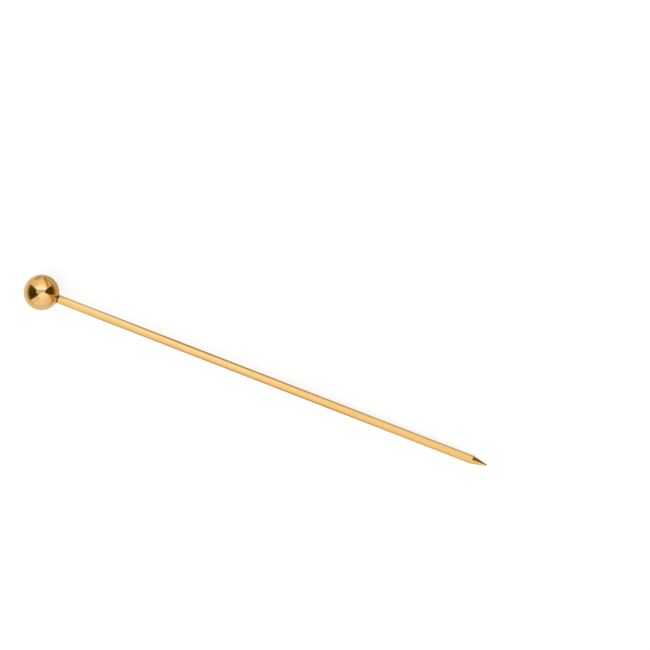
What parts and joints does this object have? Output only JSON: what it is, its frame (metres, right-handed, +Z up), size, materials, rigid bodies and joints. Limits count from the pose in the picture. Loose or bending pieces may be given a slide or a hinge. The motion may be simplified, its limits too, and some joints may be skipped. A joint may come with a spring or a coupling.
{
  "type": "cocktail pick",
  "caption": "Straight metal cocktail pick with a solid ball head, a slim round wire shaft and a ground conical point, lying on its side.",
  "frame": {"origin": "middle of the length and width of the lying pick, at the height of the surface it lies on", "axes": "+X runs from the ball towards the point, +Y is across the pick and +Z is up; the pick's own axis leans 1.69 degrees down towards +X, as it lies"},
  "size_m": [0.1114, 0.008, 0.008],
  "materials": {
    "gold_ball": "polished",
    "gold_wire": "polished"
  },
  "bodies": {
    "root": {"ball_head": "gold_ball", "shaft": "gold_wire"}
  },
  "joints": []
}
